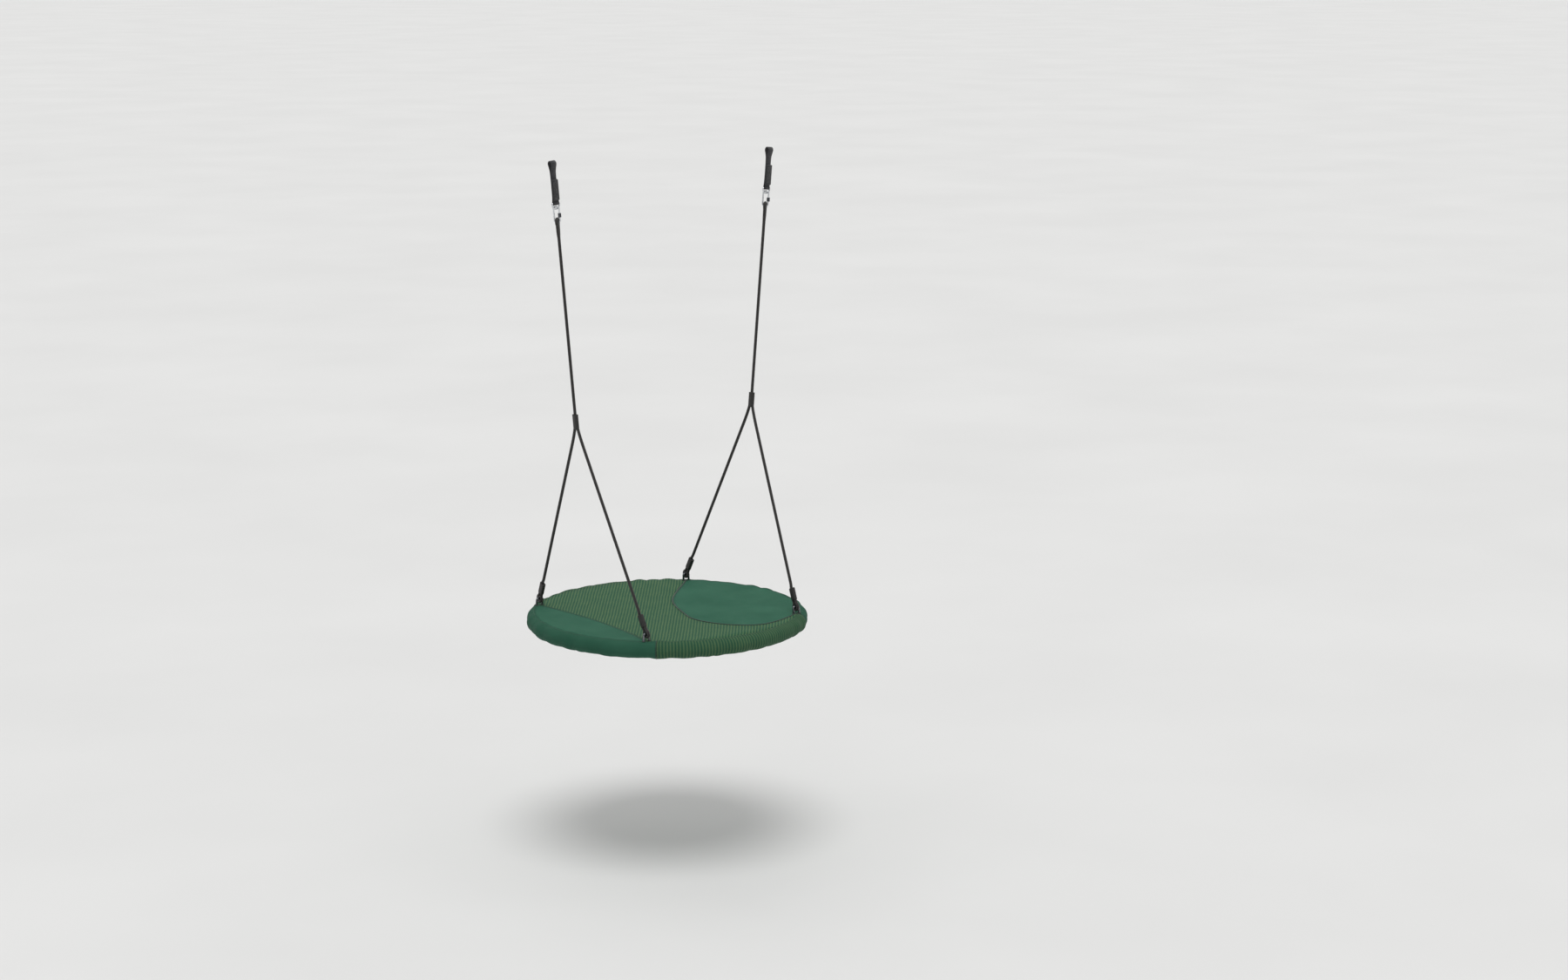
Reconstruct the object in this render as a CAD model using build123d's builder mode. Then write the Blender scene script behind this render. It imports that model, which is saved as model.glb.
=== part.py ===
from build123d import *
from math import acos, atan2, cos, degrees, radians, sin, sqrt
import os

# Saucer nest swing: a padded ring seat with a sewn cover, hung on two upper ropes.
# Each upper rope splits at a pressed ferrule into two lower ropes that hold the seat.
# Origin: midway between the two top webbing loops. X along the beam, -Y front, +Z up. Millimetres.

os.makedirs("parts", exist_ok=True)

# --- Driving dimensions -------------------------------------------------------------------
seat_diameter = 900.0  # over the padded rim
rim_section_r = 27.0  # half the thickness of the padded rim
seat_top_z = -1450.0  # level of the cover's top face
loop_spacing = 830.0  # between the two top webbing loops
lean = 5.2  # degrees each upper rope leans inwards on its way down
mouth_drop = 829.4  # from top loop to the lower mouth of the Y ferrule, along the rope
lug_azimuth = 45.7  # degrees from X to each lug, seen from above
lug_eye_radius = 417.6  # from the seat's axis to the centre of each lower rope's eye
lug_eye_z = -1428.0

# Webbing straps and steel rings
webbing_width = 20.0
ply = 2.0  # thickness of one layer of webbing
top_loop_r = 8.0  # room for the bar that the swing hangs from
strap_drop = 121.0  # from top loop to ring bar
ring_wire_r = 2.5
ring_half_width = 13.0
ring_side = 4.0  # from bar down to where the round bow starts
ring_corner_r = 3.5
ring_slack = 1.5  # room around the bar in the webbing
flap_top = 48.0
flap_bottom = 112.0
flap_plies = 4

# Screw links
link_wire_r = 2.5
link_top_drop = 131.8
link_bottom_drop = 178.1
link_half_width = 8.7
link_corner_r = 4.0
link_turn = -48.0  # degrees the link is turned about the rope's line
gate_low = -7.0  # gate gap, from the link's middle
gate_high = -1.0
nut_length = 13.0
nut_low = -9.5
nut_flats = 9.0
nut_clearance = 0.3

# Ropes and their eyes
rope_r = 4.8
eye_rope_r = 4.7  # the rope draws in a little where it bends round an eye
eye_r = 10.6  # centreline radius of every rope eye
eye_tip = 40.0  # from eye centre to the throat where both legs meet
eye_drop = 179.5  # from top loop to the centre of the upper rope's eye
thimble_wall = 1.2
thimble_flange = 0.5
thimble_rise = 2.4  # flange height over the groove
leg_spread = 5.1  # half the distance between two lower ropes at the Y ferrule
joint_gap = 5.0  # between the Y ferrule and the lower ropes, where they turn

# Ferrules
y_ferrule_length = 47.0
end_ferrule_length = 39.0
end_ferrule_drop = 22.2  # from eye centre up to the ferrule's edge
ferrule_wall = 1.4
ferrule_neck = 9.0  # length of the single rope hole

# Steel hoop
tube_r = 13.5
tube_wall = 2.3
lug_wire_r = 3.5
lug_half_width = 10.8
lug_corner_r = 5.0
lug_slack = 0.8  # between the bar and the thimble
lug_foot_lean = 4.0  # each leg leans outwards this much on its way down
spigot_half_angle = 4.0
spigot_wall = 3.0
screw_r = 2.4
screw_angle = 2.2

# Foam and cover
foam_r = 24.6
foam_gap_angle = 2.7
cover_thickness = 2.0
hem_angle = -150.0  # where the rim band ends under the seat
hem_cord_r = 2.2
hem_cord_angle = -155.5
left_seam_azimuth = 130.0
lug_slit_r = 17.0
left_seam_x = -262.0
edge_gap = 0.1

ring_radius = seat_diameter / 2 - rim_section_r
ring_z = seat_top_z - rim_section_r
panel_r = ring_radius - edge_gap
corners = {"front_left": (-1, -1), "front_right": (1, -1), "back_right": (1, 1), "back_left": (-1, 1)}
sides = {"left": -1, "right": 1}


# --- Planes -------------------------------------------------------------------------------
def hang_plane(side, drop):
    """Plane on one upper rope's line: Z up along the line, Y to the back."""
    across = Vector(cos(radians(lean)), 0, -side * sin(radians(lean)))
    up = Vector(side * sin(radians(lean)), 0, cos(radians(lean)))
    return Plane(origin=Vector(side * loop_spacing / 2, 0, 0) - up * drop, x_dir=across, z_dir=up)


def at_lug(corner, radius, z):
    """Point above or below one lug."""
    a = radians(lug_azimuth)
    return Vector(corner[0] * radius * cos(a), corner[1] * radius * sin(a), z)


def eye_plane(corner):
    """Plane at the centre of one lower rope's eye: Z up along the rope, Y along the lug's bar."""
    sx, sy = corner
    centre = at_lug(corner, lug_eye_radius, lug_eye_z)
    mouth = hang_plane(sx, mouth_drop).origin + Vector(0, sy * leg_spread, 0)
    up = (mouth - centre).normalized()
    return Plane(origin=centre, x_dir=up.cross(Vector(1, 0, 0)), z_dir=up)


def spun(plane, turn):
    """The same plane, turned about its own Z."""
    level = plane.x_dir * cos(radians(turn)) + plane.y_dir * sin(radians(turn))
    return Plane(origin=plane.origin, x_dir=level, z_dir=plane.z_dir)


def upright(plane, turn=0.0):
    """Plane that stands up in another: its X lies level, its Y is the other's Z."""
    turned = spun(plane, turn)
    return Plane(origin=turned.origin, x_dir=turned.x_dir, z_dir=-turned.y_dir)


def section_plane(azimuth):
    """Plane through the seat's axis: X outwards, Y up."""
    a = radians(azimuth)
    return Plane(origin=(0, 0, 0), x_dir=(cos(a), sin(a), 0), z_dir=(sin(a), -cos(a), 0))


def on_hoop(azimuth, along, z):
    """Point on the hoop's centreline, moved along its tangent."""
    a = radians(azimuth)
    return Vector(ring_radius * cos(a) - along * sin(a), ring_radius * sin(a) + along * cos(a), z)


def save(builder, name):
    builder.part.label = name
    export_step(builder.part, f"parts/{name}.step")
    print(f"{name:22s} {builder.part.volume / 1000:10.2f} cm3  valid {builder.part.is_valid}")


# --- Webbing strap ------------------------------------------------------------------------
def teardrop(radius, tip, mode=Mode.ADD):
    """Round loop with a pointed throat; a negative tip points down."""
    sign = 1 if tip > 0 else -1
    half = acos(radius / abs(tip))
    Circle(radius, mode=mode)
    touch_x = radius * sin(half)
    touch_y = sign * radius * cos(half)
    Polygon((-touch_x, touch_y), (touch_x, touch_y), (0, tip), align=None, mode=mode)


def make_strap(name, side):
    low_inner = ring_wire_r + ring_slack
    stack = flap_plies * ply
    with BuildPart() as strap:
        with BuildSketch(upright(hang_plane(side, 0), 90)):
            teardrop(top_loop_r + ply, -46)
            with Locations((0, -strap_drop / 2)):
                Rectangle(2 * ply, strap_drop - 40)
            with Locations((0, -strap_drop)):
                teardrop(low_inner + ply, 24)
            with Locations((-ply - stack / 2, -(flap_top + flap_bottom) / 2)):
                RectangleRounded(stack, flap_bottom - flap_top, stack * 0.3)
            with Locations((-ply, -(flap_top + flap_bottom) / 2)):
                Rectangle(ply, flap_bottom - flap_top - stack)
            teardrop(top_loop_r, -11, mode=Mode.SUBTRACT)
            with Locations((0, -strap_drop)):
                teardrop(low_inner, 14, mode=Mode.SUBTRACT)
        extrude(amount=webbing_width / 2, both=True)
    save(strap, name)


# --- Ring, link and sleeve nut ------------------------------------------------------------
def sweep_wire(points, radii, radius, close=False, frame=None):
    """Round bar swept along straight runs with rounded corners."""
    with BuildLine(frame or Plane.XY) as path:
        FilletPolyline(*points, radius=radii, close=close)
    with BuildSketch(Plane(origin=path.line @ 0, z_dir=path.line % 0)) as section:
        Circle(radius)
    sweep(section.sketch, path=path.line)


def make_d_ring(name, side):
    w = ring_half_width
    frame = upright(hang_plane(side, strap_drop))
    with BuildPart() as ring:
        with BuildLine(frame) as path:
            FilletPolyline((w, -ring_side), (w, 0), (-w, 0), (-w, -ring_side), radius=ring_corner_r)
            ThreePointArc((-w, -ring_side), (0, -ring_side - w), (w, -ring_side))
        with BuildSketch(Plane(origin=path.line @ 0, z_dir=path.line % 0)):
            Circle(ring_wire_r)
        sweep(path=path.line)
    save(ring, name)


def make_link(name, side):
    w = link_half_width
    half = (link_bottom_drop - link_top_drop) / 2
    frame = upright(hang_plane(side, (link_bottom_drop + link_top_drop) / 2), link_turn)
    route = [(w, gate_high), (w, half), (-w, half), (-w, -half), (w, -half), (w, gate_low)]
    with BuildPart() as link:
        sweep_wire(route, link_corner_r, link_wire_r, frame=frame)
    save(link, name)


def make_nut(name, side):
    middle = (link_bottom_drop + link_top_drop) / 2
    turned = spun(hang_plane(side, middle - nut_low), link_turn)
    low_end = turned.origin + turned.x_dir * link_half_width
    seat = Plane(origin=low_end, x_dir=turned.x_dir, z_dir=turned.z_dir)
    with BuildPart() as nut:
        with BuildSketch(seat):
            RegularPolygon(nut_flats / 2, 6, major_radius=False)
            Circle(link_wire_r + nut_clearance, mode=Mode.SUBTRACT)
        extrude(amount=nut_length)
        chamfer(nut.edges().filter_by(GeomType.LINE).group_by(SortBy.LENGTH)[0], 0.5)
    save(nut, name)


# --- Rope eyes and thimbles ---------------------------------------------------------------
def add_eye(frame, throat):
    """Rope loop: two legs leave the throat (1 above the eye, -1 below it) and meet across it."""
    half = acos(eye_r / eye_tip)
    for hand in (-1, 1):
        touch = (hand * eye_r * sin(half), throat * eye_r * cos(half))
        with BuildLine(frame) as leg:
            Line((0, throat * eye_tip), touch)
            ThreePointArc(touch, (hand * eye_r, 0), (0, -throat * eye_r))
        with BuildSketch(Plane(origin=leg.line @ 0, z_dir=leg.line % 0)) as section:
            Circle(eye_rope_r)
        sweep(section.sketch, path=leg.line)


def add_rope(start, end):
    """Straight run of rope between two points."""
    run = end - start
    with BuildSketch(Plane(origin=start, z_dir=run)) as section:
        Circle(rope_r)
    extrude(section.sketch, amount=run.length)


def make_thimble(name, frame):
    """Grooved steel ring that lines a rope eye."""
    groove = eye_r - rope_r
    with BuildPart() as thimble:
        with BuildSketch(Plane(origin=frame.origin, x_dir=frame.x_dir, z_dir=-frame.y_dir)):
            with Locations((groove - thimble_wall / 2 - 0.05, 0)):
                Rectangle(thimble_wall, 2 * (rope_r + thimble_flange))
            for hand in (-1, 1):
                flange_y = hand * (rope_r + thimble_flange / 2 + 0.05)
                with Locations((groove + thimble_rise / 2 - thimble_wall, flange_y)):
                    Rectangle(thimble_rise + thimble_wall, thimble_flange)
        revolve(axis=Axis(frame.origin, frame.z_dir))
    save(thimble, name)


def make_upper_rope(name, side):
    frame = upright(hang_plane(side, eye_drop), link_turn + 90)
    with BuildPart() as rope:
        add_eye(frame, -1)
        top = hang_plane(side, eye_drop + eye_tip - 9).origin
        add_rope(top, hang_plane(side, mouth_drop - y_ferrule_length + 20).origin)
    save(rope, name)
    make_thimble(name.replace("upper_rope", "top_thimble"), frame)


# --- Pressed ferrules ---------------------------------------------------------------------
def oval(inner):
    """Flattened round outline that two ropes side by side fill."""
    r = rope_r + 0.15 + (0 if inner else ferrule_wall)
    SlotCenterToCenter(2 * leg_spread, 2 * r)


def make_ferrule(name, plane, length, pocket_depth):
    """Oval sleeve with one rope hole at its top and a two-rope pocket at its bottom."""
    with BuildPart() as ferrule:
        with BuildSketch(plane):
            oval(inner=False)
        extrude(amount=length)
        fillet(ferrule.edges(), 1.2)
        with BuildSketch(plane):
            oval(inner=True)
        extrude(amount=pocket_depth, mode=Mode.SUBTRACT)
        with BuildSketch(plane):
            Circle(rope_r + 0.15)
        extrude(amount=length + 1, mode=Mode.SUBTRACT)
    save(ferrule, name)


# --- Lower ropes and lugs -----------------------------------------------------------------
def make_lower_rope(name, corner):
    plane = eye_plane(corner)
    top = hang_plane(corner[0], mouth_drop + joint_gap).origin + Vector(0, corner[1] * leg_spread, 0)
    with BuildPart() as rope:
        add_eye(upright(plane), 1)
        add_rope(plane.origin + plane.z_dir * (eye_tip - 9), top)
    save(rope, f"{name}_rope")
    make_thimble(f"{name}_thimble", upright(plane))
    sleeve = Plane(origin=plane.origin + plane.z_dir * end_ferrule_drop, x_dir=plane.x_dir, z_dir=plane.z_dir)
    make_ferrule(f"{name}_ferrule", sleeve, end_ferrule_length, end_ferrule_length - ferrule_neck)


def make_lug(name, corner):
    """Round bar bent into a staple and coped to the hoop."""
    plane = eye_plane(corner)
    bar = plane.origin + plane.z_dir * (lug_wire_r + lug_slack + thimble_wall - (eye_r - rope_r))
    tops = [bar + plane.y_dir * lug_half_width * hand for hand in (-1, 1)]
    outward = at_lug(corner, lug_foot_lean, 0)
    feet = [Vector(top.X, top.Y, ring_z + 3) + outward for top in tops]
    with BuildPart() as lug:
        sweep_wire([feet[0], tops[0], tops[1], feet[1]], lug_corner_r, lug_wire_r)
        with BuildSketch(section_plane(0)):
            with Locations((ring_radius, ring_z)):
                Circle(tube_r + 0.05)
        revolve(axis=Axis.Z, mode=Mode.SUBTRACT)
    save(lug, name)


# --- Steel hoop ---------------------------------------------------------------------------
def add_ring_tube(outer_r, inner_r, start, arc):
    """Tube round part of the hoop's circle."""
    with BuildSketch(section_plane(start)) as section:
        with Locations((ring_radius, ring_z)):
            Circle(outer_r)
            Circle(inner_r, mode=Mode.SUBTRACT)
    revolve(section.sketch, axis=Axis.Z, revolution_arc=arc)


def cut_screw_holes():
    for azimuth in (-screw_angle, screw_angle, 180 - screw_angle, 180 + screw_angle):
        foot = on_hoop(azimuth, 0, ring_z - tube_r - 2)
        with BuildSketch(Plane(origin=foot)) as hole:
            Circle(screw_r + 0.1)
        extrude(hole.sketch, amount=tube_r, mode=Mode.SUBTRACT)


def make_hoop():
    for name, start in (("back_hoop", 0), ("front_hoop", 180)):
        with BuildPart() as hoop:
            add_ring_tube(tube_r, tube_r - tube_wall, start + 0.01, 179.98)
            cut_screw_holes()
        save(hoop, name)
    spigot_r = tube_r - tube_wall - 0.1
    for name, azimuth in (("right_spigot", 0), ("left_spigot", 180)):
        with BuildPart() as spigot:
            start = azimuth - spigot_half_angle
            add_ring_tube(spigot_r, spigot_r - spigot_wall, start, 2 * spigot_half_angle)
            cut_screw_holes()
        save(spigot, name)
    with BuildPart() as screws:
        for azimuth in (-screw_angle, screw_angle, 180 - screw_angle, 180 + screw_angle):
            with BuildSketch(Plane(origin=on_hoop(azimuth, 0, ring_z - tube_r + 0.6))):
                Circle(screw_r)
            extrude(amount=6.4)
    save(screws, "hoop_screws")


# --- Foam and cover -----------------------------------------------------------------------
def make_foam():
    starts = {
        "right": -lug_azimuth,
        "back": lug_azimuth,
        "left": 180 - lug_azimuth,
        "front": 180 + lug_azimuth,
    }
    for name, start in starts.items():
        arc = 2 * lug_azimuth if name in sides else 180 - 2 * lug_azimuth
        with BuildPart() as foam:
            add_ring_tube(foam_r, tube_r + 0.1, start + foam_gap_angle, arc - 2 * foam_gap_angle)
        save(foam, f"{name}_foam")


def cut_slits():
    """Openings where the lugs come up through the cover."""
    for corner in corners.values():
        with BuildSketch(Plane(origin=at_lug(corner, lug_eye_radius + 2, seat_top_z - 9))) as slit:
            Circle(lug_slit_r)
        extrude(slit.sketch, amount=12, mode=Mode.SUBTRACT)


def make_band(name, start, end):
    """Part of the rim's cover: from the top line, round the outside, to the hem underneath."""
    inner = rim_section_r - cover_thickness
    with BuildPart() as band:
        with BuildSketch(section_plane(start + 0.01)):
            with BuildLine():
                outside = CenterArc((ring_radius, ring_z), rim_section_r, hem_angle, 90 - hem_angle)
                inside = CenterArc((ring_radius, ring_z), inner, hem_angle, 90 - hem_angle)
                Line(outside @ 0, inside @ 0)
                Line(outside @ 1, inside @ 1)
            make_face()
        revolve(axis=Axis.Z, revolution_arc=end - start - 0.02)
        cut_slits()
    save(band, name)


def rim_point(azimuth):
    return (panel_r * cos(radians(azimuth)), panel_r * sin(radians(azimuth)))


def left_outline():
    """Plain panel on the left: a slightly bowed chord and the rim."""
    back, front = rim_point(180 - lug_azimuth), rim_point(180 + lug_azimuth)
    with BuildLine() as outline:
        ThreePointArc(back, (left_seam_x, 0), front)
        ThreePointArc(front, (-panel_r, 0), back)
    make_face(outline.edges())


def right_outline():
    """Round plain panel on the right, which bulges towards the front."""
    back, front = rim_point(lug_azimuth), rim_point(-lug_azimuth)
    with BuildLine() as outline:
        Spline(back, (100, 109), (20, -64), (-2, -173), (45, -295), (136, -350), front)
        ThreePointArc(front, (panel_r, 0), back)
    make_face(outline.edges())
    Circle(panel_r, mode=Mode.INTERSECT)


def make_panels():
    under = Plane.XY.offset(seat_top_z - cover_thickness)
    for name, outline in (("left_panel", left_outline), ("right_panel", right_outline)):
        with BuildPart() as panel:
            with BuildSketch(under):
                outline()
            extrude(amount=cover_thickness)
            cut_slits()
        save(panel, name)
    with BuildPart() as mesh:
        with BuildSketch(under):
            Circle(panel_r)
        extrude(amount=cover_thickness)
        for outline in (left_outline, right_outline):
            with BuildSketch(under):
                outline()
            extrude(amount=cover_thickness, mode=Mode.SUBTRACT)
        cut_slits()
    save(mesh, "mesh_panel")


def make_hem_cord():
    a = radians(hem_cord_angle)
    reach = rim_section_r + 0.3
    with BuildPart() as cord:
        with BuildSketch(section_plane(0)):
            with Locations((ring_radius + reach * cos(a), ring_z + reach * sin(a))):
                Circle(hem_cord_r)
        revolve(axis=Axis.Z)
    save(cord, "hem_cord")


# --- Build --------------------------------------------------------------------------------
for label, side in sides.items():
    make_strap(f"{label}_strap", side)
    make_d_ring(f"{label}_d_ring", side)
    make_link(f"{label}_link", side)
    make_nut(f"{label}_sleeve_nut", side)
    make_upper_rope(f"{label}_upper_rope", side)
    mouth = hang_plane(side, mouth_drop)
    split = Plane(origin=mouth.origin, x_dir=mouth.y_dir, z_dir=mouth.z_dir)
    make_ferrule(f"{label}_y_ferrule", split, y_ferrule_length, 18.0)

for label, corner in corners.items():
    make_lower_rope(label, corner)
    make_lug(f"{label}_lug", corner)

make_hoop()
make_foam()
make_band("left_band", left_seam_azimuth, 360 - left_seam_azimuth)
make_band("front_band", 360 - left_seam_azimuth, 360 - lug_azimuth)
make_band("right_band", -lug_azimuth, lug_azimuth)
make_band("back_band", lug_azimuth, left_seam_azimuth)
make_panels()
make_hem_cord()
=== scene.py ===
from math import atan2, ceil, cos, degrees, hypot, pi, radians, sin

import bpy
from mathutils import Matrix, Vector, noise
from mathutils.geometry import delaunay_2d_cdt


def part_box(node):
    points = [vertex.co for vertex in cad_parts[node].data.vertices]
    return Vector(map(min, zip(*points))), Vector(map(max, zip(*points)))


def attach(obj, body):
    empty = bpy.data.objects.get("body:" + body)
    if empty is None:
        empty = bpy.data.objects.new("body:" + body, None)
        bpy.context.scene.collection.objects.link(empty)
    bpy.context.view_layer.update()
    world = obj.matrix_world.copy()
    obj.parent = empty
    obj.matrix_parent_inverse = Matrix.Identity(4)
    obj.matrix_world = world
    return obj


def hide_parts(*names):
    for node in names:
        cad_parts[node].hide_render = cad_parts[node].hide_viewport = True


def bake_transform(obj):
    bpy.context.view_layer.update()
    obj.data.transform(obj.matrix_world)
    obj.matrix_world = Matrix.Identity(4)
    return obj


# Saucer nest swing: webbing straps, steel rings and links, black ropes, pressed ferrules,
# and a padded round seat under a sewn cover of plain and ribbed green fabric. Metres.

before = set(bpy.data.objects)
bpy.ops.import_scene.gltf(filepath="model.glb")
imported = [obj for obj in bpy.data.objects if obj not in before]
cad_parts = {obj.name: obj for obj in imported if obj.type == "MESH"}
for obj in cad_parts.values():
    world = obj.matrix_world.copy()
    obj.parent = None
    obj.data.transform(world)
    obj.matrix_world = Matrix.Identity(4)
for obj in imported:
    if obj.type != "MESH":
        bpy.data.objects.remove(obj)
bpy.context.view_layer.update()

# --- Sizes, as in the CAD model -----------------------------------------------------------
SEAT_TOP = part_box("mesh_panel")[1][2]
RIM_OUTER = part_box("right_band")[1][0]
RIM_R = 0.027
RING_R = RIM_OUTER - RIM_R
RING_Z = SEAT_TOP - RIM_R
LOOP_SPACING = 0.830
LEAN = radians(5.2)
MOUTH_DROP = 0.8294
ROPE_R = 0.0048
EYE_R = 0.0106
EYE_DROP = 0.1795
LEG_SPREAD = 0.0051  # from the middle to each of two ropes that lie side by side
UPPER_ROPE_END = 0.802  # drop of its lower end, in the Y ferrule
LINK_TURN = radians(-48)
LUG_AZIMUTH = radians(45.7)
LUG_EYE_RADIUS = 0.4176
LUG_EYE_Z = -1.428
LUG_HALF_WIDTH = 0.0108
LUG_FOOT_LEAN = 0.004
STRAP_DROP = 0.121  # to the centre of the strap's lower loop
TOP_LOOP_R = 0.009  # to the middle of the webbing
LOW_LOOP_R = 0.005
WEBBING_WIDTH = 0.020
PLY = 0.002
LEFT_SEAM_AZIMUTH = 130.0
HEM_ANGLE = -150.0

# --- Sizes that only the visual pieces have -----------------------------------------------
FLOOR_Z = -2.236
FLOOR_HALF = 150.0
LEG_REACH = 0.034  # from an eye's centre to where its two legs come together
LOOP_OUTSET = 1.035  # control points of a round turn stand this much outside it
STITCH_INSET = 0.0025  # from the webbing's edge
CLOTH_THICKNESS = 0.0014
DISH_DEPTH = 0.0045
PLEAT_WAVES = 17  # round the rim; each makes two gathers
PLEAT_DEPTH = 0.0052
PLEAT_LEVEL = 0.42  # share of a gather's height that is level with the even rim
RIPPLE_DEPTH = 0.0012
PULL_DEPTH = 0.0010  # creases that run out from each lug
PULL_REACH = 0.16
SOFT_DEPTH = 0.0009  # slow unevenness of the stretched top
EDGE_REACH = 0.030  # how far in from the ring the gathers show on the top
HEM_WAVES = 96
HEM_DEPTH = 0.0016
LEFT_SEAM_BOW = -0.262  # where the left seam crosses the middle
OUTLINE_STEP = 0.008
GRID_STEP = 0.010
GRID_CLEAR = 0.006  # between the grid inside a panel and its outline
FOAM_R = 0.0226  # small enough to stay under the pleats
FOAM_GAP = 2.7  # degrees of bare hoop on each side of a lug
EYELET_R = 0.0048
EYELET_THREAD_R = 0.0012

# --- Pitches of the woven materials -------------------------------------------------------
WEAVE_PITCH = 0.0014
RIB_PITCH = 0.0095
THREAD_PITCH = 0.0024
DASH_PITCH = 0.0042
BRAID_STRANDS = 8.0
BRAID_LAY = 0.011
WEBBING_RIB_PITCH = 0.0016
CHEVRON_PITCH = 0.0018

SIDES = {"left": -1, "right": 1}
CORNERS = {"front_left": (-1, -1), "front_right": (1, -1), "back_right": (1, 1), "back_left": (-1, 1)}


# --- Camera, floor and light --------------------------------------------------------------
def make_camera():
    """A long lens at head height, in front of the swing's left side."""
    data = bpy.data.cameras.new("camera")
    data.lens = 68.02
    data.sensor_width = 36.0
    data.clip_end = 500.0
    camera = bpy.data.objects.new("camera", data)
    right = Vector((0.7903, -0.6127, -0.0001))
    forward = Vector((0.6009, 0.7751, -0.1955)).normalized()
    up = right.cross(forward).normalized()
    turn = Matrix((right, up, -forward)).transposed()
    place = Vector((-5.380, -7.553, 0.787))
    camera.matrix_world = Matrix.Translation(place) @ turn.to_4x4()
    bpy.context.scene.collection.objects.link(camera)
    bpy.context.scene.camera = camera


def add_light(name, place, aim, spread, power):
    """Far light with soft-edged shadows; spread is its width in degrees."""
    data = bpy.data.lights.new(name, "SUN")
    data.energy = power
    data.angle = radians(spread)
    light = bpy.data.objects.new(name, data)
    look = (Vector(aim) - Vector(place)).to_track_quat("-Z", "Y")
    light.matrix_world = Matrix.Translation(place) @ look.to_matrix().to_4x4()
    bpy.context.scene.collection.objects.link(light)


def make_sky():
    """Soft light from all round, stronger from overhead."""
    world = bpy.data.worlds.new("studio")
    world.use_nodes = True
    nodes, links = world.node_tree.nodes, world.node_tree.links
    place = nodes.new("ShaderNodeTexCoord")
    split = nodes.new("ShaderNodeSeparateXYZ")
    ramp = nodes.new("ShaderNodeValToRGB")
    ramp.color_ramp.elements[0].color = (0.50, 0.50, 0.50, 1.0)
    ramp.color_ramp.elements[1].color = (0.60, 0.60, 0.60, 1.0)
    links.new(place.outputs["Generated"], split.inputs[0])
    links.new(split.outputs["Z"], ramp.inputs[0])
    links.new(ramp.outputs[0], nodes["Background"].inputs["Color"])
    bpy.context.scene.world = world


def make_studio():
    """Three far lights, the sky and a large pale floor."""
    aim = (0, 0, -1.2)
    add_light("key", (-1.4, -1.9, 6.0), aim, 30, 1.40)
    add_light("fill", (4.5, -3.0, 2.5), aim, 50, 0.20)
    add_light("back", (1.0, 4.0, 4.5), aim, 50, 0.20)
    make_sky()
    bpy.context.scene.view_settings.view_transform = "Standard"
    signs = ((-1, -1), (1, -1), (1, 1), (-1, 1))
    corners = [(x * FLOOR_HALF, y * FLOOR_HALF, FLOOR_Z) for x, y in signs]
    mesh = bpy.data.meshes.new("floor")
    mesh.from_pydata(corners, [], [(0, 1, 2, 3)])
    floor = bpy.data.objects.new("floor", mesh)
    bpy.context.scene.collection.objects.link(floor)
    mesh.materials.append(floor_material())


# --- Material helpers ---------------------------------------------------------------------
def srgb(r, g, b):
    """Linear colour from 0-255 screen values."""
    def linear(v):
        v /= 255
        return v / 12.92 if v <= 0.04045 else ((v + 0.055) / 1.055) ** 2.4
    return (linear(r), linear(g), linear(b), 1.0)


class Nodes:
    """Short way to write a node material."""

    def __init__(self, name, **shader):
        self.material = bpy.data.materials.new(name)
        self.material.use_nodes = True
        self.tree = self.material.node_tree
        self.shader = self.tree.nodes["Principled BSDF"]
        for socket, value in shader.items():
            self.shader.inputs[socket.replace("_", " ")].default_value = value

    def add(self, kind, inputs=None, **settings):
        node = self.tree.nodes.new(kind)
        for key, value in settings.items():
            setattr(node, key, value)
        for socket, value in (inputs or {}).items():
            if isinstance(value, bpy.types.NodeSocket):
                self.tree.links.new(value, node.inputs[socket])
            else:
                node.inputs[socket].default_value = value
        return node

    def math(self, operation, a, b=0.0, clamp=False):
        node = self.add("ShaderNodeMath", {0: a, 1: b}, operation=operation, use_clamp=clamp)
        return node.outputs[0]

    def uv(self):
        layer = self.add("ShaderNodeUVMap", uv_map="UVMap")
        split = self.add("ShaderNodeSeparateXYZ", {0: layer.outputs[0]})
        return split.outputs[0], split.outputs[1]

    def place(self):
        return self.add("ShaderNodeTexCoord").outputs["Object"]

    def noise(self, scale, detail=3.0, vector=None):
        inputs = {"Vector": vector or self.place(), "Scale": scale, "Detail": detail}
        return self.add("ShaderNodeTexNoise", inputs).outputs["Fac"]

    def wave(self, value, pitch, shift=0.0):
        """0 to 1 and back once in every pitch."""
        angle = self.math("ADD", self.math("MULTIPLY", value, 2 * pi / pitch), shift)
        return self.math("ADD", self.math("MULTIPLY", self.math("SINE", angle), 0.5), 0.5)

    def ramp(self, fac, stops):
        node = self.add("ShaderNodeValToRGB", {0: fac})
        while len(node.color_ramp.elements) < len(stops):
            node.color_ramp.elements.new(0.5)
        for element, (position, colour) in zip(node.color_ramp.elements, stops):
            element.position = position
            element.color = colour
        return node.outputs[0]

    def mix(self, fac, a, b):
        return self.add("ShaderNodeMix", {0: fac, 6: a, 7: b}, data_type="RGBA").outputs[2]

    def finish(self, colour=None, roughness=None, height=None, depth=0.001, strength=1.0):
        links = self.tree.links
        if colour is not None:
            links.new(colour, self.shader.inputs["Base Color"])
        if roughness is not None:
            links.new(roughness, self.shader.inputs["Roughness"])
        if height is not None:
            inputs = {"Height": height, "Distance": depth, "Strength": strength}
            bump = self.add("ShaderNodeBump", inputs)
            links.new(bump.outputs[0], self.shader.inputs["Normal"])
        return self.material


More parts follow.
